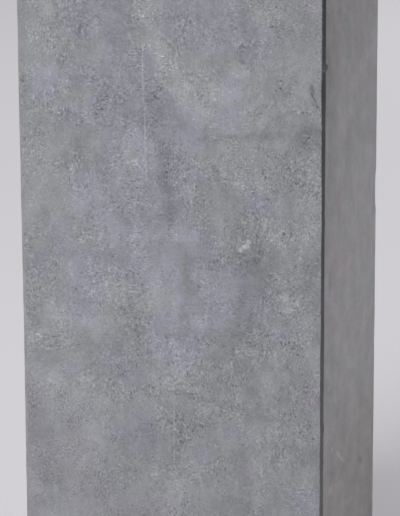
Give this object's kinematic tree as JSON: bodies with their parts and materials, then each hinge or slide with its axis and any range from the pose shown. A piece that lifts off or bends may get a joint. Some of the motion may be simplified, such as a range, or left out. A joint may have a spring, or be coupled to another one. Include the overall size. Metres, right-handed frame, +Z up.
{
  "type": "bluestone edging post",
  "caption": "Square bluestone post with dressed front and back, sawn sides, flat foot and head, and narrow eased arrises, to stand in a row along a bed, path or terrace.",
  "frame": {"origin": "centre of the sawn foot, on the surface that the post stands on", "axes": "+Z up the post, -Y out of the dressed front face, +X out of the right sawn side"},
  "size_m": [0.12, 0.12, 0.5],
  "materials": {
    "bluestone": "blue-grey stone, matt and finely pitted on the dressed faces, smooth where it is sawn, darker on the honed arris"
  },
  "bodies": {
    "root": {"edging_post": "bluestone"}
  },
  "joints": []
}
